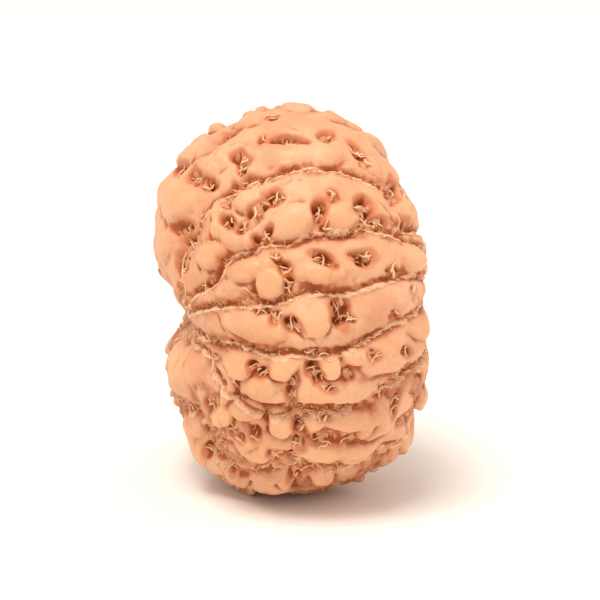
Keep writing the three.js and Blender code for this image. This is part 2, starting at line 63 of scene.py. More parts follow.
# %% Sizes of the body, in mm
HALF_LENGTH = 10.9
HALF_DEPTH = 14.5
HALF_HEIGHT = 16.55
HALF_HEIGHT_BELOW = 16.8
FULLNESS = 2.25
FOOT_DROP = 16.6
STALK_HOLLOW = {"depth": 4.0, "across": 8.5, "high": 2.7, "y": 7.0, "z": -1.8}
TIP_HOLLOW = {"depth": 1.4, "across": 6.0, "high": 3.6, "y": -3.5, "z": 0.0}
END_FACE = (0.2, 0.65)
END_STATION = 0.999
PROPORTIONS = np.array([HALF_LENGTH, HALF_DEPTH, HALF_HEIGHT])
VIEW_YAW = math.radians(-24)
VIEW_RISE = math.radians(14)


def unit(v):
    """The vector or vectors at length 1."""
    v = np.asarray(v, float)
    return v / np.linalg.norm(v, axis=-1, keepdims=True)


def smooth(low, high, x):
    """An even step from 0 at low to 1 at high; it runs down where low is above high."""
    t = np.clip((x - low) / (high - low), 0, 1)
    return t * t * (3 - 2 * t)


def in_hollow(p, side, hollow):
    """How far into an end hollow the points p are, from 0 to 1."""
    q = np.hypot((p[..., 1] - hollow["y"]) / hollow["across"], (p[..., 2] - hollow["z"]) / hollow["high"])
    return np.exp(-q * q) * smooth(*END_FACE, side * p[..., 0] / HALF_LENGTH)


def body_radius(d):
    """Distance from the middle to the smooth body in unit directions d."""
    along = np.abs(d[..., 0]) / HALF_LENGTH
    half_height = np.where(d[..., 2] < 0, HALF_HEIGHT_BELOW, HALF_HEIGHT)
    around = np.hypot(d[..., 1] / HALF_DEPTH, d[..., 2] / half_height)
    r = (along**FULLNESS + around**FULLNESS) ** (-1 / FULLNESS)
    p = d * r[..., None]
    into_stalk_end = STALK_HOLLOW["depth"] * in_hollow(p, -1, STALK_HOLLOW)
    into_tip = TIP_HOLLOW["depth"] * in_hollow(p, 1, TIP_HOLLOW)
    return r - into_stalk_end - into_tip


def on_body(v):
    """Points of the smooth body in the directions of v."""
    d = unit(v)
    return d * body_radius(d)[..., None]


print("body, mm:", 2 * PROPORTIONS)

# %% [markdown]
# ## The front view
# The marks on the front are placed as they are seen: u to the right and v up, in mm from the middle
# of the seed, from 24 degrees left of front and 14 degrees above. A ray through that place meets the
# body, which gives the point in the round. Marks could also be painted on a flat map of the seed, but
# a map is stretched at the ends, and the view is where they can be measured. The ray is tried at
# short steps from the eye's side, and the first point inside the body counts.

# %% From the front view onto the body
TO_EYE = np.array([
    math.sin(VIEW_YAW) * math.cos(VIEW_RISE),
    -math.cos(VIEW_YAW) * math.cos(VIEW_RISE),
    math.sin(VIEW_RISE),
])
VIEW_RIGHT = np.array([math.cos(VIEW_YAW), math.sin(VIEW_YAW), 0.0])
VIEW_UP = np.cross(TO_EYE, VIEW_RIGHT)
RAY = np.arange(30, 0, -0.1)


def on_front(u, v):
    """Point of the body at (u, v); past the edge of the view, the point that comes nearest."""
    p = VIEW_RIGHT * u + VIEW_UP * v + TO_EYE * RAY[:, None]
    over = np.linalg.norm(p, axis=1) / body_radius(unit(p))
    inside = np.flatnonzero(over <= 1)
    return on_body(p[inside[0] if len(inside) else np.argmin(over)])


def at_station(longitude, station):
    """Point of the body at a longitude round X, in degrees, and a station from -1 to 1 along X."""
    ring = math.sqrt(1 - station * station)
    turn = math.radians(longitude)
    return on_body(PROPORTIONS * [station, -ring * math.cos(turn), ring * math.sin(turn)])


print("middle of the front view:", np.round(on_front(0, 0), 1))

# %% [markdown]
# ## Marks on the front
# Six grooves show from the front, and between them lie the pits and lumps that give this seed its
# face. They were measured on a grid of millimetres. A groove is a row of places (u, v) that the
# curve passes through.

# %% Grooves that show from the front, from the stalk end to the tip
FRONT_GROOVES = [
    [[-9.0, 1.0], [-9.4, 2.6], [-8.8, 3.6], [-8.2, 4.8], [-7.7, 6.0], [-7.3, 7.2], [-6.0, 8.4], [-4.0, 9.2],
     [-3.2, 10.0], [-2.0, 10.1], [-0.4, 10.6], [0.8, 10.9], [2.5, 10.9], [4.0, 10.6], [6.0, 10.0],
     [7.7, 9.0], [8.6, 7.3], [9.4, 6.0]],
    [[-7.9, 0.7], [-7.2, 1.0], [-6.1, 1.8], [-5.2, 3.2], [-3.5, 3.8], [-2.0, 4.6], [0.0, 4.6], [2.0, 5.2],
     [4.2, 5.3], [6.2, 5.8], [8.2, 5.5], [9.9, 4.7]],
    [[-8.0, -0.8], [-6.0, -0.4], [-4.0, -0.3], [-2.4, -0.2], [-0.6, 0.1], [1.0, 0.6], [3.0, 0.5],
     [5.0, 0.9], [7.0, 1.5], [9.0, 1.9], [10.1, 2.0]],
    [[-8.3, -1.9], [-7.2, -3.1], [-5.5, -3.7], [-4.0, -3.8], [-2.0, -4.3], [0.0, -4.3], [2.0, -4.5],
     [3.8, -4.2], [5.5, -3.6], [7.5, -2.6], [9.5, -1.6], [10.3, -1.1]],
    [[-8.3, -2.4], [-7.1, -4.4], [-6.4, -6.0], [-5.5, -7.2], [-4.2, -8.2], [-2.8, -9.0], [-1.0, -9.3],
     [1.0, -9.0], [3.0, -9.1], [5.0, -8.8], [7.0, -7.7], [8.8, -6.5], [10.4, -5.0], [11.3, -3.9]],
    [[-8.6, -1.2], [-9.2, -2.4], [-10.2, -3.5], [-10.9, -6.0], [-9.7, -8.3], [-8.8, -9.3], [-7.6, -9.8],
     [-7.0, -11.4], [-6.2, -13.2], [-4.5, -13.9], [-3.0, -14.3], [-1.0, -14.2], [0.9, -14.0], [3.0, -14.3],
     [5.0, -14.0], [7.0, -12.7], [9.0, -11.5], [9.9, -10.8]],
]
print(len(FRONT_GROOVES), "grooves on the front")

# %% [markdown]
# The pits are what the flesh was rooted in. Most lie just under a groove or beside a lump, and many
# are longer than they are wide, so each has its own length, width and turn.

# %% Pits on the front: u, v, length, width, turn in degrees, depth
FRONT_PITS = [
    [-5.4, 13.8, 1.9, 0.9, 25, 1.0], [-4.1, 11.9, 1.5, 1.2, 0, 1.4], [-4.2, 11.0, 0.8, 1.2, 0, 1.1],
    [-2.5, 13.5, 0.8, 0.8, 0, 0.5], [-0.4, 13.3, 2.6, 0.9, 0, 1.3], [2.9, 13.8, 1.3, 1.1, 0, 1.1],
    [5.6, 12.4, 2.0, 0.8, -50, 0.9], [6.1, 11.4, 0.8, 0.8, 0, 0.6], [-1.6, 15.3, 0.8, 0.7, 0, 0.5],
    [-9.2, 10.7, 1.4, 1.2, 0, 1.1], [-8.2, 10.4, 1.6, 1.2, -20, 1.2], [-7.0, 9.9, 1.6, 1.2, -20, 1.1],
    [8.6, 9.2, 1.8, 1.0, 90, 1.2], [-9.1, 6.1, 2.2, 0.9, 15, 1.2], [-8.9, 5.0, 1.6, 0.9, 10, 1.1],
    [-9.3, 4.0, 1.8, 1.0, 68, 1.0], [-9.5, 2.8, 1.3, 0.9, 0, 0.9], [-2.6, 10.3, 2.2, 0.6, 8, 0.8],
    [-4.9, 9.6, 0.8, 0.7, 0, 0.7],
    [-5.2, 6.4, 1.1, 0.9, 0, 1.4], [-5.5, 7.8, 0.8, 0.7, 0, 0.8], [-3.6, 6.2, 2.0, 0.8, 35, 1.1],
    [-2.6, 7.5, 2.8, 0.7, 35, 0.9], [-0.9, 8.4, 0.7, 0.7, 0, 0.7], [-1.6, 8.5, 1.4, 1.3, 0, 1.3],
    [-1.95, 5.5, 0.8, 0.8, 0, 1.2], [-2.9, 5.0, 0.8, 0.7, 0, 1.0],
    [2.2, 7.4, 1.2, 1.8, 0, 1.4], [2.8, 5.9, 0.8, 0.7, 0, 0.6], [5.8, 7.6, 1.6, 1.8, 0, 1.5],
    [6.2, 6.5, 0.8, 0.7, 0, 0.7], [7.2, 6.5, 1.2, 0.8, 0, 0.8], [9.3, 6.3, 1.0, 1.1, 0, 1.0],
    [9.8, 8.4, 0.7, 1.9, 0, 0.5], [3.5, 8.6, 1.4, 1.2, 0, 0.35],
    [-5.7, 3.4, 0.8, 0.7, 0, 0.8], [-7.6, 1.0, 1.5, 0.6, 30, 0.6], [-0.5, 2.5, 0.9, 1.0, 0, 1.2],
    [-1.1, 3.3, 1.3, 0.7, -40, 0.7], [-0.3, 1.4, 0.6, 1.4, 0, 0.7], [-3.4, 0.7, 1.0, 0.8, 0, 0.6],
    [2.6, 3.3, 2.4, 0.9, -25, 1.1], [5.9, 3.5, 2.0, 1.1, 0, 1.2], [8.5, 2.5, 1.5, 0.6, 0, 0.6],
    [-2.4, -0.8, 1.2, 0.6, -10, 0.8], [-1.3, -1.4, 1.0, 1.1, 0, 1.1], [0.1, -2.0, 1.8, 1.1, -35, 1.4],
    [4.0, -0.9, 1.5, 2.4, 0, 1.3], [4.9, -1.5, 0.9, 0.7, 0, 0.7], [8.7, -1.3, 1.2, 0.8, 0, 0.4],
    [10.2, 0.6, 0.6, 1.4, 0, 0.4],
    [-6.8, -3.6, 2.0, 0.6, -15, 0.5], [-6.4, -5.0, 0.9, 0.8, 0, 0.7], [-3.2, -5.4, 0.8, 0.9, 0, 0.9],
    [-2.4, -6.0, 1.1, 0.9, 0, 1.0], [-4.6, -7.0, 0.8, 0.7, 0, 0.6], [0.2, -7.3, 0.9, 2.2, -10, 0.8],
    [1.7, -5.6, 1.1, 1.4, 0, 1.3], [2.3, -6.4, 0.9, 1.0, 0, 1.0], [2.9, -7.2, 0.9, 0.7, 0, 0.7],
    [2.1, -4.5, 2.0, 0.6, 0, 1.0], [4.5, -6.2, 0.9, 1.2, -30, 0.9], [6.8, -4.5, 1.2, 1.1, 0, 0.5],
    [9.5, -4.3, 0.9, 0.9, 0, 0.9], [11.2, -4.6, 0.6, 0.8, 0, 0.6], [9.5, -6.2, 1.0, 0.8, 0, 0.5],
    [-6.9, -8.9, 0.9, 1.2, 0, 1.0], [-8.5, -9.3, 0.8, 0.7, 0, 0.6], [-4.9, -11.1, 1.0, 1.0, 0, 1.2],
    [-4.2, -11.5, 0.9, 0.7, 0, 0.8], [-3.1, -11.2, 1.0, 0.9, 0, 0.8], [0.7, -10.6, 0.8, 1.8, 35, 0.9],
    [0.6, -11.9, 1.0, 1.3, 0, 1.0], [2.6, -9.7, 1.2, 0.6, 0, 0.6], [2.4, -11.7, 2.2, 0.7, 0, 1.1],
    [4.7, -11.6, 1.1, 0.6, 0, 0.6], [8.5, -9.0, 2.4, 0.6, 60, 0.8], [7.3, -8.0, 0.8, 0.5, 0, 0.5],
    [-1.2, -12.7, 1.3, 0.7, -25, 0.8], [-6.9, -12.4, 0.7, 1.1, 0, 0.9], [-5.7, -12.2, 1.2, 0.6, -25, 0.7],
    [0.3, -13.4, 1.3, 1.1, 0, 1.0], [0.1, -14.9, 1.0, 1.0, 0, 0.9],
    [-4.9, -14.2, 0.8, 0.8, 0, 0.7], [-5.8, -15.0, 1.2, 0.5, -40, 0.7], [-3.8, -15.6, 0.9, 0.7, 0, 0.9],
    [1.4, -14.6, 1.1, 0.6, 0, 0.7], [3.3, -15.9, 1.0, 0.7, 0, 0.5], [-2.1, -16.3, 0.8, 1.2, 0, 1.0],
]
print(len(FRONT_PITS), "pits on the front")

# %% [markdown]
# The outline of the seed isn't an even oval. A few broad swellings, and flats with a height below
# zero, bring it there. They could be worked into the body's own formula, but as patches each one can
# be set where it is seen.

# %% Broad swellings and flats (below zero): u, v, half length, half width, turn in degrees, height
FRONT_SWELLINGS = [
    [-10.8, 9.8, 4.6, 3.4, 50, 0.65], [-10.5, 1.2, 2.4, 1.8, 70, -0.5], [-9.3, -5.2, 2.7, 3.8, -10, 0.75],
    [-7.6, -12.6, 2.6, 2.0, -60, 0.5], [9.4, -12.0, 3.6, 2.5, -45, 0.8], [9.8, 11.0, 4.4, 3.0, -50, -0.6],
    [5.4, 15.8, 3.6, 2.0, -20, -0.6], [1.0, 16.8, 3.0, 1.8, 0, -0.3], [-4.4, 16.0, 3.6, 2.0, 20, -0.6],
    [11.2, 0.4, 1.5, 2.6, 0, -0.5], [10.9, 6.0, 1.5, 2.0, -20, -0.4], [4.8, -15.7, 2.0, 1.3, 0, -0.7],
]
print(len(FRONT_SWELLINGS), "broad swellings and flats")

# %% [markdown]
# The lumps are knobs of hard wood between the pits. They catch the light, so their places matter more
# to the eye than their exact heights.

# %% Lumps on the front: u, v, half length, half width, turn in degrees, height
FRONT_LUMPS = [
    [-9.7, 8.1, 1.7, 1.4, 20, 1.0], [-8.4, 12.4, 1.6, 1.3, 40, 0.6], [8.2, -4.9, 2.4, 1.3, 15, 0.35],
    [7.2, -10.8, 1.9, 1.0, 30, 0.35], [5.8, -13.2, 1.9, 0.9, 12, 0.35], [-9.0, -11.6, 1.2, 1.2, 0, 0.6],
    [-6.5, 14.9, 0.7, 0.6, 30, 0.7], [-8.2, 13.6, 1.2, 0.9, 40, 0.6], [-3.7, 15.8, 0.6, 0.6, 0, 0.6],
    [-2.6, 16.0, 0.6, 0.6, 0, 0.6], [-4.2, -16.4, 1.4, 1.1, 0, 1.0], [-6.2, -15.1, 1.9, 0.9, -32, 0.9],
    [-3.5, 8.5, 1.5, 0.9, 10, 0.6], [-6.4, 7.6, 0.7, 0.9, 0, 0.6], [-6.3, 6.1, 0.7, 1.0, 0, 0.6],
    [-5.2, 4.9, 1.2, 0.7, -30, 0.6], [-3.9, 4.9, 0.8, 0.6, 0, 0.5], [-0.1, 6.5, 2.0, 1.2, 22, 0.8],
    [4.2, 7.0, 1.5, 1.2, 10, 0.7], [-7.0, 3.9, 1.3, 1.0, 20, 0.7], [-3.5, 2.8, 2.2, 0.9, 10, 0.5],
    [-1.9, 1.3, 1.2, 1.1, 0, 1.0], [2.3, 2.2, 2.2, 0.7, 0, 0.6], [1.8, -1.4, 1.4, 1.6, 0, 0.6],
    [-3.0, -2.4, 2.6, 1.1, -10, 0.4], [-4.7, -5.7, 1.3, 1.0, -20, 0.7], [-0.8, -5.9, 1.2, 0.9, 0, 0.9],
    [-2.5, -7.8, 2.4, 0.9, -10, 0.5], [3.4, -5.8, 0.8, 1.0, 0, 0.8], [5.5, -4.9, 1.0, 0.7, 20, 0.5],
    [4.0, -8.0, 3.6, 0.9, 0, 0.5], [-5.7, -8.4, 0.6, 1.0, 0, 0.5],
    [-6.0, -10.2, 1.1, 0.8, 0, 0.6], [-3.9, -9.7, 1.3, 0.9, 0, 0.6], [-0.9, -10.8, 1.1, 1.2, 0, 1.0],
    [2.0, -10.6, 1.0, 0.7, 0, 0.6], [4.9, -10.4, 2.0, 0.9, 5, 0.4], [-8.2, -10.6, 1.0, 1.0, 0, 0.6],
    [-2.9, -12.8, 2.2, 1.0, -10, 0.6], [2.6, -13.0, 2.2, 0.8, 0, 0.5], [-8.0, -12.8, 0.8, 1.4, 0, 0.9],
    [-6.0, -14.1, 1.2, 0.8, -25, 0.7], [-1.8, -15.4, 1.9, 0.8, 0, 0.6], [-3.9, -16.3, 0.9, 0.7, 0, 0.5],
    [2.5, -15.2, 1.2, 0.7, 0, 0.4], [5.0, -15.0, 1.2, 0.8, 0, 0.12], [9.8, 7.6, 1.2, 1.1, 0, 0.5],
    [10.8, 3.6, 1.2, 1.4, 0, 0.45], [11.0, 1.2, 0.8, 0.8, 0, 0.2], [11.2, -2.4, 1.2, 1.1, 0, 0.35],
    [11.2, -5.0, 1.2, 1.4, 0, 0.4], [11.0, -8.4, 1.0, 1.1, 0, 0.6], [9.3, -11.6, 1.0, 0.9, 0, 0.6],
    [8.2, -13.4, 1.2, 1.0, 0, 0.5], [0.4, 16.3, 1.4, 0.8, 0, 0.45], [3.8, 15.5, 1.1, 0.9, 0, 0.45],
    [7.0, 13.4, 1.6, 1.1, -45, 0.4], [-3.5, 15.4, 1.4, 0.8, 20, 0.4], [-9.2, 12.8, 1.1, 1.2, 0, 0.6],
    [-10.9, 5.4, 1.4, 2.4, 0, 0.4], [-10.6, 8.6, 1.2, 1.3, 0, 0.4], [8.6, 11.0, 1.2, 1.3, 0, 0.3],
    [-6.4, 12.0, 1.5, 1.0, 30, 0.4], [1.3, 12.2, 3.0, 0.9, 0, 0.4],
]
print(len(FRONT_LUMPS), "lumps on the front")

# %% [markdown]
# ## Grooves
# A groove on the real seed wanders a little between its two ends. Each one here is a smooth curve
# through a few points, laid on the body. The hidden side has no marks to follow, so its grooves keep
# an even spacing with a small seeded wander, as the natural ones do.

# %% Groove lines on the body
FRONT_LONGITUDES = [53, 33, 18.5, 0, -18, -42]
FULL_TURN = 318
HIDDEN_START = 100
HIDDEN_STEP = 19.8
HIDDEN_GROOVES = 11
HIDDEN_WANDER = 2.2
SEED_NUMBER = 20817
SAMPLE_STEP = 0.15
LIMB_FADE = (-0.25, 0.1)
TAIL_STATIONS = (0.8, 0.93)
TAIL_SHOWN = 0.5
SHORT_PAST_LONGITUDE = 270
SHORT_START = -0.72
FULL_START = -0.96
STATION_STEP = 0.12
STATION_END = 0.97
draws = {"state": SEED_NUMBER}


def between(low, high):
    """The next seeded draw; the solid was made with the same stream."""
    draws["state"] = draws["state"] * 16807 % 2147483647
    return low + (high - low) * draws["state"] / 2147483647


def drawn(ranges):
    """One draw from each range, in their order."""
    return [between(low, high) for low, high in ranges]


def groove_line(points):
    """A curve through the points that slows where they are close, sampled evenly on the body."""
    p = np.array(points)
    p = np.vstack([2 * p[0] - p[1], p, 2 * p[-1] - p[-2]])
    gap = np.linalg.norm(np.diff(p, axis=0), axis=1) ** 0.5
    spans = []
    for i in range(1, len(p) - 2):
        a, b, c, e = p[i - 1:i + 3]
        before, here, after = gap[i - 1:i + 2]
        leave = ((b - a) / before - (c - a) / (before + here) + (c - b) / here) * here
        arrive = ((c - b) / here - (e - b) / (here + after) + (e - c) / after) * here
        count = int(np.linalg.norm(c - b) / SAMPLE_STEP) + 2
        t = np.linspace(0, 1, count, endpoint=False)[:, None]
        square = 3 * c - 3 * b - 2 * leave - arrive
        cube = 2 * b - 2 * c + leave + arrive
        spans.append(b + leave * t + square * t**2 + cube * t**3)
    return on_body(np.vstack(spans + [p[-2:-1]]))


stalk_end = at_station(0, -END_STATION)
tip_end = at_station(0, END_STATION)
grooves = []
for marks, longitude in zip(FRONT_GROOVES, FRONT_LONGITUDES):
    tail = [p for p in (at_station(longitude, s) for s in TAIL_STATIONS) if p @ TO_EYE < TAIL_SHOWN]
    grooves.append(groove_line([stalk_end, *(on_front(u, v) for u, v in marks), *tail, tip_end]))

hidden_longitudes = [HIDDEN_START + HIDDEN_STEP * i for i in range(HIDDEN_GROOVES)]
for longitude in hidden_longitudes:
    stops_short = longitude > SHORT_PAST_LONGITUDE
    points = [] if stops_short else [stalk_end]
    station = SHORT_START if stops_short else FULL_START
    while station < STATION_END:
        points.append(at_station(longitude + between(-HIDDEN_WANDER, HIDDEN_WANDER), station))
        station += STATION_STEP
    grooves.append(groove_line([*points, tip_end]))
groove_points = np.vstack(grooves)
from_front = len(np.vstack(grooves[:len(FRONT_GROOVES)]))
groove_weight = 1 - smooth(*LIMB_FADE, unit(groove_points) @ TO_EYE)
groove_weight[:from_front] = 1
print(len(grooves), "grooves,", len(groove_points), "samples")

# %% [markdown]
# ## Pits and lumps
# A pit or a lump is an oval patch of the body: its middle, three axes, three half sizes, and how deep
# or high it is. On the hidden side a rule sets a row of both along every face, and one that would
# come round into view is left out.

# %% Patches
WIDE_FACE_ROW = 80
ROW_SPREAD = 0.22
ROW_END = 0.78
ROW_STEP = 0.2
PIT_WANDER = 0.05
LUMP_WANDER = 0.04
HIDDEN_PIT = ((0.5, 1.1), (0.4, 0.7), (0.7, 1.3))
HIDDEN_LUMP = ((0.9, 1.6), (0.8, 1.3), (0.4, 0.9))
HIDDEN_REACH = 3.0
HIDDEN_LIMIT = -0.02
STAND_OUT = 0.3
LUMP_GAIN = 1.3
WORN_HEIGHT = 0.75
DRAW_IN = (0.1, 0.5)


def worn(height):
    """Tall lumps are worn down: the height levels off towards a limit."""
    return WORN_HEIGHT * np.tanh(height / WORN_HEIGHT)


def front_patch(u, v, half_length, half_width, turn, amount, stands=0.0):
    """A patch seen at (u, v); what stands off the body is seen further out, so it is drawn in."""
    c, s = math.cos(math.radians(turn)), math.sin(math.radians(turn))
    seen = on_front(u, v)
    drawn_in = 1 - stands * smooth(*DRAW_IN, unit(seen) @ TO_EYE) / np.linalg.norm(seen)
    axes = np.array([VIEW_RIGHT * c + VIEW_UP * s, VIEW_UP * c - VIEW_RIGHT * s, TO_EYE])
    half = np.array([half_length, half_width, 2 * max(half_length, half_width)])
    return {"at": on_front(u * drawn_in, v * drawn_in), "axes": axes, "half": half, "amount": amount}


def hidden_patch(longitude, station, half_length, half_width, amount):
    """A patch of the hidden side, with its length along the seed."""
    at = at_station(longitude, station)
    out = unit(at / PROPORTIONS**2)
    along = unit(np.array([1.0, 0, 0]) - out * out[0])
    axes = np.array([along, np.cross(out, along), out])
    half = np.array([half_length, half_width, HIDDEN_REACH])
    return {"at": at, "axes": axes, "half": half, "amount": amount}


pits = [
    front_patch(u, v, long / 2, wide / 2, turn, depth, STAND_OUT)
    for u, v, long, wide, turn, depth in FRONT_PITS
]
lumps = [front_patch(*lump, STAND_OUT + worn(LUMP_GAIN * lump[-1])) for lump in FRONT_LUMPS]
swellings = [front_patch(*swelling) for swelling in FRONT_SWELLINGS]
rows = [*reversed(FRONT_LONGITUDES), WIDE_FACE_ROW, *hidden_longitudes, FULL_TURN]
for low, high in zip(rows, rows[1:]):
    middle, spread = (low + high) / 2, (high - low) * ROW_SPREAD
    station = -ROW_END
    while station < ROW_END:
        longitude = middle + between(-spread, spread)
        pit = hidden_patch(longitude, station + between(-PIT_WANDER, PIT_WANDER), *drawn(HIDDEN_PIT))
        longitude = middle + between(-spread, spread)
        past_pit = station + ROW_STEP / 2
        lump = hidden_patch(longitude, past_pit + between(-LUMP_WANDER, LUMP_WANDER), *drawn(HIDDEN_LUMP))
        pits += [pit] if pit["axes"][2] @ TO_EYE < HIDDEN_LIMIT else []
        lumps += [lump] if lump["axes"][2] @ TO_EYE < HIDDEN_LIMIT else []
        station += ROW_STEP
print(len(pits), "pits and", len(lumps), "lumps")

# %% [markdown]
# ## Relief
# The skin could be sculpted by hand, but then nothing would tie it to the solid. Here functions give
# its height in any direction: the body, raised by lumps, cut by grooves and pits. Noise makes the
# edges of pits and grooves ragged, as the real wood is torn there. Each noise has the size of its
# features in mm, and a shift that keeps it apart from the others.

# %% Noise for torn edges
TORN = (0.5, 0.0)
BROKEN = (1.1, 7.0)
BROAD = (2.6, 11.0)
RIM_SWAY = (5.0, 1.0)
STRUTS = (0.95, 2.0)
HUSK = (0.8, 5.0)
CREVICE = (2.7, 9.0)
WIDE_DRIFT = (3.0, 0.0)
FINE_DRIFT = (1.1, 4.0)
DRIFT_APART = (0.0, 31.7, 67.3)


def noise_at(p, size, shift):
    """Smooth noise from -1 to 1, with features of about that size in mm."""
    return np.array([noise.noise(Vector(q)) for q in p / size + shift])


def drift_at(p, size, shift):
    """Smooth noise as a vector, the same in every run."""
    return np.stack([noise_at(p, size, shift + apart) for apart in DRIFT_APART], axis=1)


def oval(p, patch):
    """Distance of the points p from the middle of a patch; 1 is its edge."""
    return np.linalg.norm((p - patch["at"]) @ patch["axes"].T / patch["half"], axis=1)


def bell(x, middle, half):
    """A rounded ridge that is 1 at the middle."""
    return np.exp(-(((x - middle) / half) ** 2))


def uneven(even, change, pattern):
    """A share from 0 to 1 that varies about an even value as the pattern does."""
    return np.clip(even + change * pattern, 0, 1)


print("torn edges, mm:", TORN[0], "to", BROAD[0])

# %% [markdown]
# A lump on the real seed hangs over the hollow below it: its lower side is steep and its upper side
# leans back. So each lump mixes two outlines, and has a moat along its lower side. Where lumps meet,
# adding their cubes lets the taller one win with a soft seam; a plain sum would pile them up.

# %% Lumps and their moats
LUMP_REACH = 1.08
STEEP_SIDE = (3, 0.85)
GENTLE_SIDE = (0.78, 1.5)
UPPER_SIDE = (-0.1, 0.8)
LOWER_SIDE = (0.5, -0.5)
CALM_IN_HOLLOW = 0.9
MOAT_AT = 1.08
MOAT_HALF = 0.24
MOAT_SHARE = 0.55


def lump_relief(p, bent):
    """Height of the lumps at p, and the depth of the moats beside them."""
    raised = np.zeros(len(p))
    moat = np.zeros(len(p))
    for lump in lumps:
        height_share = (bent[:, 2] - lump["at"][2]) / lump["half"][1]
        q = oval(bent, lump) / LUMP_REACH
        steep = np.clip(1 - q ** STEEP_SIDE[0], 0, 1) ** STEEP_SIDE[1]
        gentle = np.clip(1 - (GENTLE_SIDE[0] * q) ** 2, 0, 1) ** GENTLE_SIDE[1]
        profile = steep + (gentle - steep) * smooth(*UPPER_SIDE, height_share)
        raised += (LUMP_GAIN * lump["amount"] * profile) ** 3
        ring = bell((q - MOAT_AT) * lump["half"][1], 0, MOAT_HALF) * smooth(*LOWER_SIDE, height_share)
        moat = np.maximum(moat, lump["amount"] * MOAT_SHARE * ring)
    return worn(np.cbrt(raised)) * (1 - CALM_IN_HOLLOW * in_hollow(p, -1, STALK_HOLLOW)), moat


print("moats lie at", round(MOAT_AT * LUMP_REACH, 2), "of a lump's half size")

# %% [markdown]
# A pit has a torn edge, a soft dish around it and a red-brown stain that reaches further. Remains of
# the husk stand in it as struts and shreds, which are modelled here, and as threads, which come later.

# %% Pits
PIT_SHARE = 0.66
PIT_EDGE = (0.5, 1.12)
PIT_DISH = (0.7, 1.7)
DISH_SHARE = 0.3
STAIN_EDGE = (0.8, 1.9)
PIT_TORN = 0.35
PIT_BROKEN = 0.45
STAIN_BROKEN = 0.5
STRUT_HALF = 0.12
HUSK_EDGE = (0.1, 0.26)


def pit_relief(p, bent, torn, broken):
    """Depth of the pits, of the dish around them, how stained the wood is, and the remains of husk."""
    sunk = np.zeros(len(p))
    dish = np.zeros(len(p))
    stain = np.zeros(len(p))
    for pit in pits:
        q = oval(bent, pit)
        inside = 1 - smooth(*PIT_EDGE, q + PIT_TORN * torn + PIT_BROKEN * broken)
        sunk = np.maximum(sunk, PIT_SHARE * pit["amount"] * inside)
        dish = np.maximum(dish, pit["amount"] * DISH_SHARE * (1 - smooth(*PIT_DISH, q)))
        near = 1 - smooth(*STAIN_EDGE, q + STAIN_BROKEN * broken)
        stain = np.maximum(stain, min(1, pit["amount"]) * near)
    struts = bell(noise_at(p, *STRUTS), 0, STRUT_HALF)
    husk = np.maximum(struts, smooth(*HUSK_EDGE, noise_at(p, *HUSK)))
    return sunk, dish, stain, struts, husk


print("deepest pit, mm:", round(PIT_SHARE * max(pit["amount"] for pit in pits), 2))

# %% [markdown]
# A groove is a narrow cleft with rounded shoulders. A torn rim runs along one side of it and changes
# sides on the way. The nearest sample of all groove lines is found with a search tree, as comparing
# every point with every sample would take minutes.

# %% Grooves and their rims
GROOVE_DEPTH = 0.5
GROOVE_HALF = 0.33
GROOVE_FADE = (1.0, 6.0)
GROOVE_SHARE_AT_ENDS = 0.3
RIM_HEIGHT = 0.26
RIM_AT = 0.36
RIM_HALF = 0.16
RIM_SIDES = (-1, 0.6)
RIM_SWING = 3
RIM_LEAN = 0.9
RIM_TORN = 1.4
RIM_TATTERED = (0.8, 0.8)
SHOULDER_DEPTH = 0.4
SHOULDER_HALF = 1.1
CLEFT_TORN = 0.15
CLEFT_BROKEN = 0.16
CLEFT_EVEN = (0.8, 0.6)
groove_heads = np.vstack([np.gradient(line, axis=0) for line in grooves])
groove_sides = unit(np.cross(unit(groove_points), groove_heads))
groove_tree = kdtree.KDTree(len(groove_points))
for i, point in enumerate(groove_points):
    groove_tree.insert(point, i)
groove_tree.balance()


def rim_place(p):
    """Where the torn rim stands across a groove, in mm; it changes sides along the way."""
    return RIM_AT * np.clip(noise_at(p, *RIM_SWAY) * RIM_SWING - RIM_LEAN, *RIM_SIDES)


def groove_relief(p, torn, broken, broad):
    """Depth of the clefts, height of their rims, depth of their shoulders, and how near they are."""
    found = [groove_tree.find(q)[1:] for q in p]
    nearest = np.array([i for i, _ in found])
    gap = np.array([distance for _, distance in found])
    side = np.sign(np.sum((p - groove_points[nearest]) * groove_sides[nearest], axis=1))
    across = gap * side + CLEFT_TORN * torn + CLEFT_BROKEN * broken
    full = smooth(*GROOVE_FADE, np.hypot(p[:, 1], p[:, 2]))
    weight = groove_weight[nearest]
    fade = (GROOVE_SHARE_AT_ENDS + (1 - GROOVE_SHARE_AT_ENDS) * full) * weight
    cleft = fade * GROOVE_DEPTH * bell(across, 0, GROOVE_HALF) * (CLEFT_EVEN[0] + CLEFT_EVEN[1] * broad)
    tattered = np.clip(RIM_TATTERED[0] + RIM_TORN * torn - RIM_TATTERED[1] * broad, 0, 1)
    rim = fade * RIM_HEIGHT * bell(across, rim_place(p), RIM_HALF) * tattered
    shoulder = fade * SHOULDER_DEPTH * bell(gap, 0, SHOULDER_HALF)
    return cleft, rim, shoulder, gap, weight


print("grooves, mm deep:", GROOVE_DEPTH + SHOULDER_DEPTH)

# %% [markdown]
# Ground that lies low between the lumps is bare of the hard smooth layer, so it is crumbly, more so on
# the lower half. The parts are now put together. The foot stays as it is, so the seed stands flat.

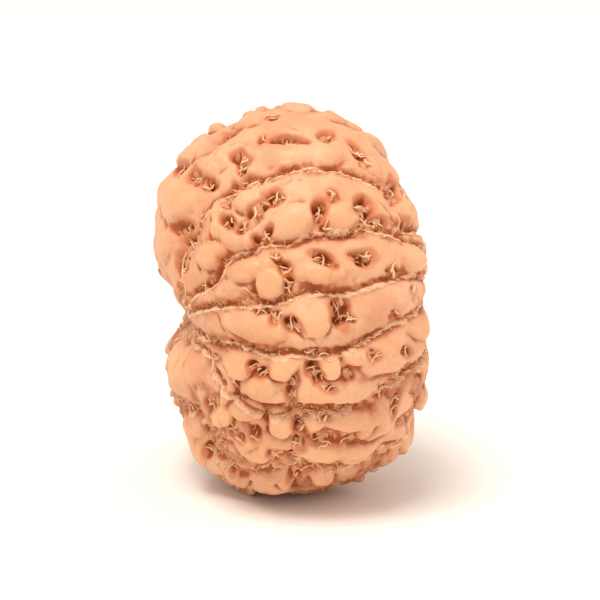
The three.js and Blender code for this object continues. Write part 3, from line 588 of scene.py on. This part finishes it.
# %% Height of the skin in any direction
LOW_HALF = (1.0, -9.0)
CREVICE_DEPTH = 0.55
CREVICE_HALF = 0.07
CREVICE_UNEVEN = (0.2, 2)
CREVICE_LOWER = (0.35, 0.65)
MOAT_UNEVEN = (0.5, 1.6)
CRUMB_HALF = 0.42
CRUMB_WIDER = (2, -0.4, 1.2)
CRUMB_EVEN = 0.9
STALK_END_EVEN = 0.5
BARE_DEPTH = 0.35
BARE_UNEVEN = (0.7, 1.5)
BARE_HEIGHT = (0.05, 0.4)
RAISED_EDGE = (0, 0.3)
HUSK_SHARE = 0.62
HUSK_DEPTH = (0.15, 0.5)
FOOT_FADE = (2.5, 5.0)
BEND_WIDE = 0.3
BEND_FINE = 0.2
DEEPER_BELOW = 0.7
CRUMB_SHARE = {"dish": 1.1, "crevice": 1.5, "bare": 0.85, "stalk end": 0.7, "risen": 1.2}
ROUGHNESS = {"broad": 0.16, "broken": 0.1, "torn": 0.03}
CRUMB_ROUGHNESS = {"torn": 0.28, "struts": 0.2}


def low_ground(p, bent, risen, low_half, broken, broad):
    """Depth of the crevices, and how bare the ground is of the smooth layer."""
    line = bell(noise_at(bent, *CREVICE), 0, CREVICE_HALF)
    lower = CREVICE_LOWER[0] + CREVICE_LOWER[1] * low_half
    crevice = CREVICE_DEPTH * line * uneven(*CREVICE_UNEVEN, broad) * lower
    patchy = np.clip(BARE_UNEVEN[0] + BARE_UNEVEN[1] * broad + broken, 0, 1)
    return crevice, (1 - smooth(*BARE_HEIGHT, risen)) * low_half * patchy


def relief(d):
    """Radius of the skin in unit directions d, and how much of it is pit, stain, rim, crumb and husk."""
    p = on_body(d)
    bent = p + BEND_WIDE * drift_at(p, *WIDE_DRIFT) + BEND_FINE * drift_at(p, *FINE_DRIFT)
    torn, broken, broad = (noise_at(p, *field) for field in (TORN, BROKEN, BROAD))
    raised, moat = lump_relief(p, bent)
    swelling = sum(item["amount"] * np.clip(1 - oval(p, item) ** 2, 0, 1) ** 2 for item in swellings)
    risen = np.abs(raised + swelling)
    low_half = smooth(*LOW_HALF, p[:, 2])
    moat *= (1 + DEEPER_BELOW * low_half) * (1 - smooth(*RAISED_EDGE, raised)) * uneven(*MOAT_UNEVEN, broken)
    sunk, dish, stain, struts, husk = pit_relief(p, bent, torn, broken)
    cleft, rim, shoulder, gap, weight = groove_relief(p, torn, broken, broad)
    crevice, bare = low_ground(p, bent, risen, low_half, broken, broad)
    crumb_half = CRUMB_HALF * (1 + np.clip(CRUMB_WIDER[0] * broad, *CRUMB_WIDER[1:]))
    crumb = bell(gap, 0, crumb_half) * weight * (CRUMB_EVEN + broken)
    for name, depth in (("dish", dish), ("crevice", crevice), ("bare", bare)):
        crumb = crumb + CRUMB_SHARE[name] * depth
    crumb = crumb + CRUMB_SHARE["stalk end"] * in_hollow(p, -1, STALK_HOLLOW) * (STALK_END_EVEN + broken)
    crumb = np.clip(crumb - CRUMB_SHARE["risen"] * risen, 0, 1)
    swell = ROUGHNESS["broad"] * broad + ROUGHNESS["broken"] * broken + ROUGHNESS["torn"] * torn
    swell = swell + crumb * (CRUMB_ROUGHNESS["torn"] * torn + CRUMB_ROUGHNESS["struts"] * struts)
    cut = np.maximum(np.maximum(sunk * (1 - HUSK_SHARE * husk), cleft), np.maximum(moat, crevice))
    cut = cut + dish + shoulder + BARE_DEPTH * bare
    height = STAND_OUT + swelling + raised + swell + rim - cut
    keep = np.where(p[:, 2] > 0, 1, smooth(*FOOT_FADE, np.hypot(p[:, 0], p[:, 1])))
    r = np.linalg.norm(p, axis=1) + height * keep
    r = np.where(d[:, 2] < 0, np.minimum(r, FOOT_DROP / np.maximum(-d[:, 2], 0.01)), r)
    in_pit = husk * smooth(*HUSK_DEPTH, sunk)
    found = {"pit": sunk, "stain": stain, "rim": rim, "crumb": crumb, "husk": in_pit}
    return r, {name: share * keep for name, share in found.items()}


print("skin on top, mm from the middle:", np.round(relief(np.array([[0.0, 0, 1]]))[0], 2))

# %% [markdown]
# ## The fine skin
# A cube cut into a fine grid and drawn out to a ball has evenly spread faces and no poles where they
# would crowd, which a UV sphere has. Each point is then moved along its ray. Under the flat spot the
# skin stays flat.

# %% Fine skin
GRID_CUTS = 127


def new_piece(name, shape):
    """A piece from a finished bmesh, at the origin, smooth shaded."""
    mesh = bpy.data.meshes.new(name)
    shape.to_mesh(mesh)
    shape.free()
    mesh.polygons.foreach_set("use_smooth", [True] * len(mesh.polygons))
    piece = bpy.data.objects.new(name, mesh)
    bpy.context.scene.collection.objects.link(piece)
    return piece


def store(mesh, name, values):
    """Keeps one number for each point, for the material to read."""
    kept = mesh.attributes.new(name, "FLOAT", "POINT")
    kept.data.foreach_set("value", np.ascontiguousarray(values, np.float32))


shape = bmesh.new()
bmesh.ops.create_cube(shape, size=2)
bmesh.ops.subdivide_edges(shape, edges=shape.edges[:], cuts=GRID_CUTS, use_grid_fill=True)
grid = np.array([v.co[:] for v in shape.verts])
even = np.tan(grid * math.pi / 4)
rays = unit(unit(even) * PROPORTIONS)
radius, marks = relief(rays)
skin = rays * radius[:, None]
middle = (skin.max(axis=0) + skin.min(axis=0)) / 2
SHIFT = np.array([-middle[0], -middle[1], FOOT_DROP])
for v, place in zip(shape.verts, (skin + SHIFT) * MM):
    v.co = place
bmesh.ops.recalc_face_normals(shape, faces=shape.faces[:])
edges = np.array([[v.index for v in e.verts] for e in shape.edges])
seed = new_piece("seed_fine_skin", shape)
print("fine skin, mm:", np.round(skin.max(axis=0) - skin.min(axis=0), 1), "faces:", len(seed.data.polygons))

# %% [markdown]
# Colour follows the form on this seed: open faces are pale and smooth, and hollows are red-brown.
# The red-brown of hollows, creases and pits is deepened with painted shade, and raised faces are
# paler with a painted highlight.
# How deep a point lies below its neighbourhood is measured by smoothing the heights and comparing.

# %% How hollow each point is
NEAR_PASSES = 14
LEVEL_PASSES = 46
BROAD_PASSES = 340
CRUMB_PASSES = 2


def spread_out(values, passes):
    """Averages the values over neighbouring points again and again."""
    count = np.bincount(edges.ravel(), minlength=len(values))
    for _ in range(passes):
        total = np.bincount(edges[:, 0], values[edges[:, 1]], len(values))
        total += np.bincount(edges[:, 1], values[edges[:, 0]], len(values))
        values = (values + total) / (count + 1)
    return values


body_part = np.linalg.norm(on_body(rays), axis=1)
height = radius - body_part
near_level = spread_out(height, NEAR_PASSES)
level = spread_out(near_level, LEVEL_PASSES)
broad_level = spread_out(level, BROAD_PASSES)
store(seed.data, "crease", near_level - height)
store(seed.data, "hollow", level - height)
store(seed.data, "broad_hollow", broad_level - height)
for name in ("pit", "rim", "stain", "husk"):
    store(seed.data, name, marks[name])
store(seed.data, "crumb", spread_out(marks["crumb"], CRUMB_PASSES))
print("deepest hollow, mm:", round(float((level - height).max()), 2))

# %% [markdown]
# ## Seed stone finish
# The cleaned stone is a hard nutshell wood, rubbed smooth on its faces and still rough where nothing
# reaches. Two small helpers come first: one turns a hex colour to linear light, the other adds a node
# with its settings and links.

# %% Helpers for materials
def linear(hex_colour):
    """sRGB hex to linear colour with alpha."""
    parts = [int(hex_colour[i:i + 2], 16) / 255 for i in (1, 3, 5)]
    return [c / 12.92 if c <= 0.04045 else ((c + 0.055) / 1.055) ** 2.4 for c in parts] + [1.0]


def add_node(tree, kind, inputs=None, **settings):
    """Adds a node with its settings; an input is a value or the socket that feeds it."""
    made = tree.nodes.new(kind)
    for name, value in settings.items():
        setattr(made, name, value)
    for socket, value in (inputs or {}).items():
        if isinstance(value, bpy.types.NodeSocket):
            tree.links.new(value, made.inputs[socket])
        else:
            made.inputs[socket].default_value = value
    return made


def new_material(name):
    """An empty material with its shader wired to the output."""
    material = bpy.data.materials.new(name)
    material.use_nodes = True
    tree = material.node_tree
    tree.nodes.clear()
    shader = add_node(tree, "ShaderNodeBsdfPrincipled")
    add_node(tree, "ShaderNodeOutputMaterial", {"Surface": shader.outputs["BSDF"]})
    return material, tree, shader


print("pale face, linear:", [round(c, 3) for c in linear("#ffbd8c")])

# %% [markdown]
# The wood looks satin and peach-tan on the faces, and matt red-brown in the hollows. The colour is
# built in layers, from the widest cloud to the finest grain, and the form says where each layer lies.
# The layers over hollows, creases and pits add painted shade to the wood's red-brown, and the layer
# over raised faces adds a painted highlight.
# Painting could do the same, but these layers follow any change of the form. A little light enters
# the pale wood and comes out redder, which softens its shadows.

# %% Satin nutshell wood
PATTERNS = {
    "cloud": (6, 3, 0), "mottle": (1.4, 4, 0.4), "grain": (0.35, 3, 0),
    "fibre": (0.9, 1, 1.0), "flake": (0.6, 2, 1.2),
}
ON_LINE = (0.035, 0.01)
stone, tree, shader = new_material("nutshell_wood_rubbed_satin")
place = add_node(tree, "ShaderNodeTexCoord").outputs["Object"]
read = {
    name: add_node(tree, "ShaderNodeAttribute", attribute_name=name).outputs["Fac"]
    for name in ("crease", "hollow", "broad_hollow", "pit", "rim", "crumb", "stain", "husk")
}
seen = {}
for name, (size, detail, twist) in PATTERNS.items():
    inputs = {"Vector": place, "Scale": 1 / (size * MM), "Detail": detail, "Distortion": twist}
    seen[name] = add_node(tree, "ShaderNodeTexNoise", inputs).outputs["Fac"]
off_middle = add_node(tree, "ShaderNodeMath", {0: seen["fibre"], 1: 0.5}, operation="SUBTRACT").outputs[0]
from_line = add_node(tree, "ShaderNodeMath", {0: off_middle}, operation="ABSOLUTE").outputs[0]
inputs = {"Value": from_line, "From Min": ON_LINE[0], "From Max": ON_LINE[1]}
on_line = add_node(tree, "ShaderNodeMapRange", inputs).outputs["Result"]
flaked, fibrous = (
    add_node(tree, "ShaderNodeMath", {0: source, 1: read["crumb"]}, operation="MULTIPLY").outputs[0]
    for source in (seen["flake"], on_line)
)
colour = linear("#e6ad87")
for source, low, high, share, tint in (
    (seen["cloud"], 0.4, 0.65, 1.0, "#db9c74"),
    (seen["mottle"], 0.45, 0.75, 0.45, "#cf8e65"),
    # raised faces made paler and yellower: partly the rubbed wood's own tone, partly painted highlight
    (read["broad_hollow"], -0.1, -0.9, 0.75, "#ebb080"),
    (read["stain"], 0.1, 0.8, 0.65, "#c66c3a"),
    # hollows made darker red-brown: partly the bare wood's colour, partly painted shade
    (read["hollow"], 0.0, 0.36, 0.95, "#b96233"),
    # fine creases made darker: partly the bare wood's red-brown, partly painted shade
    (read["crease"], 0.01, 0.17, 0.75, "#aa5425"),
    # deep pit floors made darkest: partly the bare wood's red-brown, partly painted shade
    (read["pit"], 0.3, 0.9, 0.7, "#a4481b"),
    (read["crumb"], 0.1, 0.8, 0.7, "#b05726"),
    (flaked, 0.4, 0.56, 0.8, "#f0b785"),
    (fibrous, 0.2, 0.9, 0.45, "#e9bb92"),
    (read["rim"], 0.06, 0.18, 0.7, "#f6c5a0"),
    (read["husk"], 0.3, 0.8, 0.7, "#f2bd90"),
    (seen["grain"], 0.5, 0.8, 0.25, "#b2693f"),
):
    ranged = {"Value": source, "From Min": low, "From Max": high, "To Max": share}
    amount = add_node(tree, "ShaderNodeMapRange", ranged, interpolation_type="SMOOTHSTEP").outputs["Result"]
    mixed = {0: amount, 6: colour, 7: linear(tint)}
    colour = add_node(tree, "ShaderNodeMix", mixed, data_type="RGBA").outputs[2]
tree.links.new(colour, shader.inputs["Base Color"])
dulled = {"Value": read["hollow"], "From Min": -0.2, "From Max": 0.5, "To Min": 0.5, "To Max": 0.85}
tree.links.new(add_node(tree, "ShaderNodeMapRange", dulled).outputs["Result"], shader.inputs["Roughness"])
shader.inputs["IOR"].default_value = 1.5
shader.inputs["Subsurface Weight"].default_value = 0.12
shader.inputs["Subsurface Radius"].default_value = (1.0, 0.45, 0.2)
shader.inputs["Subsurface Scale"].default_value = 1.2 * MM
below = {}
for source, strength, high_mm in (
    (seen["mottle"], 0.35, 0.12),
    (fibrous, 0.6, 0.12),
    (flaked, 0.7, 0.22),
    (seen["grain"], 0.3, 0.05),
):
    inputs = {"Height": source, "Strength": strength, "Distance": high_mm * MM, **below}
    below = {"Normal": add_node(tree, "ShaderNodeBump", inputs).outputs["Normal"]}
tree.links.new(below["Normal"], shader.inputs["Normal"])
seed.data.materials.append(stone)
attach(seed, "root")
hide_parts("seed")
print(stone.name, "has", len(tree.nodes), "nodes")

# %% [markdown]
# ## Threads
# Dried threads of the fruit's flesh cling in the grooves and bridge the pits. Each is a thin curve
# with a thickness, turned into a mesh with a few dozen faces: there are hundreds. Hair would look
# finer, but it isn't exported. Each kind of thread has ranges for its length, bend, lift off the skin,
# stiffness and radius.

# %% Kinds of thread, in mm
STRAND_STEPS = np.linspace(-1, 1, 7)
STRAND_TAPER = np.array([0.5, 0.85, 1.0, 1.0, 1.0, 0.9, 0.45])
CURL = 0.14
FINE_FIBRE = ((0.35, 1.1), (-0.15, 0.15), (0.0, 0.4), (0.5, 1.0), (0.05, 0.11))
LONG_FIBRE = ((0.8, 1.5), (-0.3, 0.3), (0.0, 0.3), (0.5, 1.0), (0.07, 0.12))
RIM_THREAD = ((0.5, 1.3), (-0.08, 0.08), (-0.04, 0.03), (0.0, 0.3), (0.04, 0.08))
CROSS_HAIR = ((0.2, 0.5), (-0.08, 0.08), (-0.03, 0.03), (0.2, 0.6), (0.03, 0.06))
strands = []


def strand(middle, heading, length, bend, lift, stiff, radius):
    """A short bent strand; a stiff one stays straight where the skin under it rises and falls."""
    out = unit(middle)
    heading = unit(heading - out * (heading @ out))
    aside = np.cross(out, heading)
    curl = between(-CURL, CURL) * length * np.sin(math.pi * STRAND_STEPS)
    ahead = np.outer(STRAND_STEPS * length / 2, heading)
    line = middle + ahead + np.outer(bend * STRAND_STEPS**2 + curl, aside)
    strands.append({"rays": unit(line), "lift": lift, "stiff": stiff, "radius": radius})


def pit_strand(pit, turn, fan, reach, kind):
    """A strand somewhere in a pit; its heading is the shared turn, give or take the fan."""
    angle = turn + between(-fan, fan)
    spot = [between(-reach, reach) * half for half in pit["half"][:2]]
    heading = math.cos(angle) * pit["axes"][0] + math.sin(angle) * pit["axes"][1]
    strand(pit["at"] + spot @ pit["axes"][:2], heading, *drawn(kind))


print("thread radii, mm:", CROSS_HAIR[-1][0], "to", LONG_FIBRE[-1][1])

# %% [markdown]
# In a pit the threads cross each other like a torn net: fine ones in a wide fan, and a few long ones
# that lie closer to one direction. A bigger pit holds more of both.

# %% Threads in the pits
FINE_TO_AREA = 4
FINE_EXTRA = (0, 2)
FINE_FAN = 1.3
FINE_REACH = 0.7
LONG_TO_AREA = 2
LONG_EXTRA = (0, 1)
LONG_FAN = 0.9
LONG_REACH = 0.6
for pit in pits:
    area = float(np.prod(pit["half"][:2]))
    turn = between(0, math.pi)
    for _ in range(int(between(*FINE_EXTRA) + area * FINE_TO_AREA)):
        pit_strand(pit, turn, FINE_FAN, FINE_REACH, FINE_FIBRE)
    for _ in range(int(area * LONG_TO_AREA + between(*LONG_EXTRA))):
        pit_strand(pit, turn, LONG_FAN, LONG_REACH, LONG_FIBRE)
print(len(strands), "strands in the pits")

# %% [markdown]
# Along a groove the threads lie on the torn rim, end to end, with short hairs across. They are denser
# at the stalk end, where the flesh held on longest.

# %% Threads along the grooves
FIBROUS_END = -5.0
FIRST_SAMPLE = (3, 9)
SAMPLES_LEFT_BARE = 8
FRONT_WEIGHT = 0.5
RIM_SCATTER = 0.1
RIM_FAN = 0.3
CROSS_SHARE = 0.4
CROSS_SCATTER = 0.45
CROSS_FAN = 1.6
DENSE_STEP = (1, 3)
OPEN_STEP = (2, 6)
begins = np.cumsum([0] + [len(line) for line in grooves])
for begin, line in zip(begins, grooves):
    heads = unit(np.gradient(line, axis=0))
    rim_side = rim_place(line)
    i = int(between(*FIRST_SAMPLE))
    while i < len(line) - SAMPLES_LEFT_BARE:
        if groove_weight[begin + i] < FRONT_WEIGHT:
            i += SAMPLES_LEFT_BARE
            continue
        aside = np.cross(unit(line[i]), heads[i])
        on_rim = line[i] + aside * (rim_side[i] + between(-RIM_SCATTER, RIM_SCATTER))
        strand(on_rim, heads[i] + aside * between(-RIM_FAN, RIM_FAN), *drawn(RIM_THREAD))
        across = aside * (1 if between(0, 1) < 0.5 else -1)
        if between(0, 1) < CROSS_SHARE:
            on_cleft = line[i] + aside * between(-CROSS_SCATTER, CROSS_SCATTER)
            strand(on_cleft, across + heads[i] * between(-CROSS_FAN, CROSS_FAN), *drawn(CROSS_HAIR))
        i += int(between(*(DENSE_STEP if line[i][0] < FIBROUS_END else OPEN_STEP)))
print(len(strands), "strands in all")

# %% [markdown]
# Every thread is now laid on the skin under it, and those that would touch the table are left out.

# %% Threads laid on the skin
CLEAR_OF_FLOOR = 0.15
rays_of_all = np.vstack([item["rays"] for item in strands])
ground_under = relief(rays_of_all)[0].reshape(len(strands), -1)
threads = []
for item, under in zip(strands, ground_under):
    r = under + (under.mean() - under) * item["stiff"] + item["lift"]
    points = item["rays"] * r[:, None] + SHIFT
    if points[:, 2].min() > CLEAR_OF_FLOOR:
        threads.append({"points": points, "radius": item["radius"] * STRAND_TAPER})
print(len(threads), "threads")

# %% [markdown]
# All threads become one piece: a curve with a bevel gives each its thickness and its taper, and the
# curve is then taken as a mesh, which the exported part can hold.

# %% Threads as one mesh
wire = bpy.data.curves.new("threads", "CURVE")
wire.dimensions = "3D"
wire.bevel_depth = 1.0
wire.bevel_resolution = 0
wire.resolution_u = 1
wire.use_fill_caps = True
for thread in threads:
    spline = wire.splines.new("POLY")
    spline.points.add(len(thread["points"]) - 1)
    for point, place_mm, size in zip(spline.points, thread["points"], thread["radius"]):
        point.co = (*(place_mm * MM), 1)
        point.radius = size * MM
holder = bpy.data.objects.new("threads_curve", wire)
bpy.context.scene.collection.objects.link(holder)
thread_mesh = bpy.data.meshes.new_from_object(holder.evaluated_get(bpy.context.evaluated_depsgraph_get()))
bpy.data.objects.remove(holder)
shape = bmesh.new()
shape.from_mesh(thread_mesh)
fibres = new_piece("flesh_threads", shape)
print("threads:", len(fibres.data.polygons), "faces")

# %% [markdown]
# The dried flesh is straw-coloured and a little see-through, so light from behind shows in the thin
# threads. A slow change of tone keeps them from looking like one wire.

# %% Dried flesh threads
TONE_SIZE = 0.9
dried, tree, shader = new_material("dried_fruit_flesh_thread")
place = add_node(tree, "ShaderNodeTexCoord").outputs["Object"]
inputs = {"Vector": place, "Scale": 1 / (TONE_SIZE * MM), "Detail": 2.0}
tone = add_node(tree, "ShaderNodeTexNoise", inputs).outputs["Fac"]
inputs = {"Value": tone, "From Min": 0.35, "From Max": 0.65}
share = add_node(tree, "ShaderNodeMapRange", inputs).outputs["Result"]
ends = {0: share, 6: linear("#e6a97c"), 7: linear("#fdd2a8")}
straw = add_node(tree, "ShaderNodeMix", ends, data_type="RGBA").outputs[2]
tree.links.new(straw, shader.inputs["Base Color"])
shader.inputs["Roughness"].default_value = 0.6
shader.inputs["Subsurface Weight"].default_value = 0.2
shader.inputs["Subsurface Radius"].default_value = (1.0, 0.6, 0.3)
shader.inputs["Subsurface Scale"].default_value = 0.3 * MM
fibres.data.materials.append(dried)
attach(fibres, "root")
print(dried.name)

# %% [markdown]
# ## Floor, light and camera
# The seed stands on a plain pale floor of matt paper.

# %% Floor
FLOOR_REACH = 2000.0
shape = bmesh.new()
bmesh.ops.create_grid(shape, x_segments=1, y_segments=1, size=FLOOR_REACH * MM)
ground = new_piece("floor", shape)
paper, tree, shader = new_material("matt_white_paper")
shader.inputs["Base Color"].default_value = linear("#f7f5f2")
shader.inputs["Roughness"].default_value = 0.9
ground.data.materials.append(paper)
print(paper.name)

# %% [markdown]
# A large soft light stands above and a little to the left, so the lumps shade what lies below them.
# A weaker one from the right and a pale sky keep the hollows open.

# %% Light
def area_light(name, place_mm, size_mm, watts, colour):
    """A soft square light that looks at the seed."""
    lamp = bpy.data.lights.new(name, "AREA")
    lamp.size = size_mm * MM
    lamp.energy = watts
    lamp.color = linear(colour)[:3]
    holder = bpy.data.objects.new(name, lamp)
    bpy.context.scene.collection.objects.link(holder)
    holder.location = Vector(place_mm) * MM
    target = Vector((0, 0, FOOT_DROP * MM))
    holder.rotation_euler = (target - holder.location).to_track_quat("-Z", "Y").to_euler()


area_light("key", place_mm=(-300, -200, 955), size_mm=480, watts=8.4, colour="#fff8f0")
area_light("fill", place_mm=(780, -180, 390), size_mm=660, watts=1.8, colour="#fff4ea")
world = bpy.data.worlds.new("studio")
bpy.context.scene.world = world
world.use_nodes = True
sky = world.node_tree.nodes["Background"]
sky.inputs["Color"].default_value = linear("#fff8ef")
sky.inputs["Strength"].default_value = 0.7
bpy.context.scene.view_settings.view_transform = "Standard"
print("two soft lights and a pale sky")

# %% [markdown]
# The camera looks from where the front view was measured, far enough off that the seed keeps its
# proportions. Its lens follows from the size of the seed in the picture.

# %% Camera
PHOTO_PIXELS = 600
SEED_PIXELS_TALL = 394
SEED_TALL = 34.0
MIDDLE_PIXEL = 292
CAMERA_AWAY = 250.0
SENSOR = 36.0
pixel = SEED_TALL / SEED_PIXELS_TALL
camera_data = bpy.data.cameras.new("camera")
camera_data.sensor_width = SENSOR
camera_data.lens = SENSOR * CAMERA_AWAY / (PHOTO_PIXELS * pixel)
camera_data.clip_start = 0.01
camera = bpy.data.objects.new("camera", camera_data)
bpy.context.scene.collection.objects.link(camera)
aim = SHIFT + VIEW_RIGHT * (PHOTO_PIXELS / 2 - MIDDLE_PIXEL) * pixel
axes = Matrix((VIEW_RIGHT, VIEW_UP, TO_EYE)).transposed()
camera.matrix_world = Matrix.Translation(Vector((aim + TO_EYE * CAMERA_AWAY) * MM)) @ axes.to_4x4()
bpy.context.scene.camera = camera
print("lens, mm:", round(camera_data.lens, 1))
